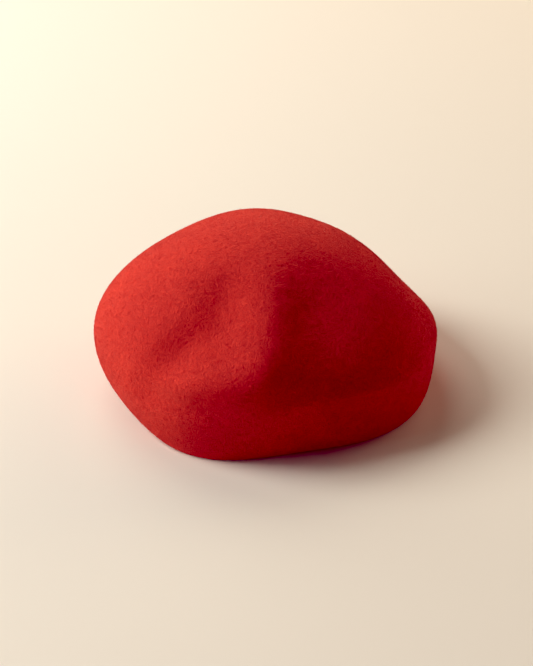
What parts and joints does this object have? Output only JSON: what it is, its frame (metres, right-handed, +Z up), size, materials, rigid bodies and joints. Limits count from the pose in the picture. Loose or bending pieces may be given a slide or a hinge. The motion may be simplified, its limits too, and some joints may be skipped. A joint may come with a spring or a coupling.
{
  "type": "wool felt beret",
  "caption": "Plain one-piece wool felt beret, puffed up and softly folded, resting on its turned-in underside, hollow and open below for the head.",
  "frame": {"origin": "centre of the hat's plan box, on the surface it rests on", "axes": "+Z up through the crown, +X along the hat's widest way, -Y towards the side shown in the picture"},
  "size_m": [0.2534, 0.2426, 0.12],
  "materials": {
    "wool_felt": "fulled wool felt with a short fuzzy nap, matte"
  },
  "bodies": {
    "root": {"felt_shell": "wool_felt"}
  },
  "joints": []
}
